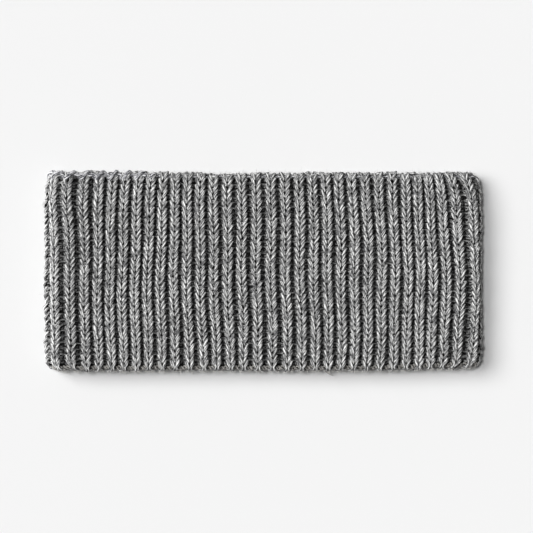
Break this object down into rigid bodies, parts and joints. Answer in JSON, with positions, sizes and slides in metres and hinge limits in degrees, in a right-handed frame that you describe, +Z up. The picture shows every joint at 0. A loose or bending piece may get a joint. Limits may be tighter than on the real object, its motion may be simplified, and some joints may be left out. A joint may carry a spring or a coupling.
{
  "type": "knit headband",
  "caption": "Wide ring of 1x1 rib knit in heathered grey yarn, lying flat with a fold at each side and its head hollow open between the two layers.",
  "frame": {"origin": "middle of the band's footprint, on the surface that it lies on", "axes": "+X across the band from fold to fold, +Y up the band from the cast-on edge to the bind-off edge, +Z up from the surface"},
  "size_m": [0.24, 0.11, 0.0165],
  "materials": {
    "rib_yarn": "heathered grey knitting yarn, dry and slightly fuzzy, with a fine glossy reflective filament",
    "bind_off_yarn": "the same heathered yarn, lying along the edge as a chain of loops",
    "cast_on_yarn": "the same heathered yarn, slightly warmer and fuzzier along the edge"
  },
  "bodies": {
    "root": {"rib_band": "rib_yarn", "bind_off_edge": "bind_off_yarn", "cast_on_edge": "cast_on_yarn"}
  },
  "joints": []
}
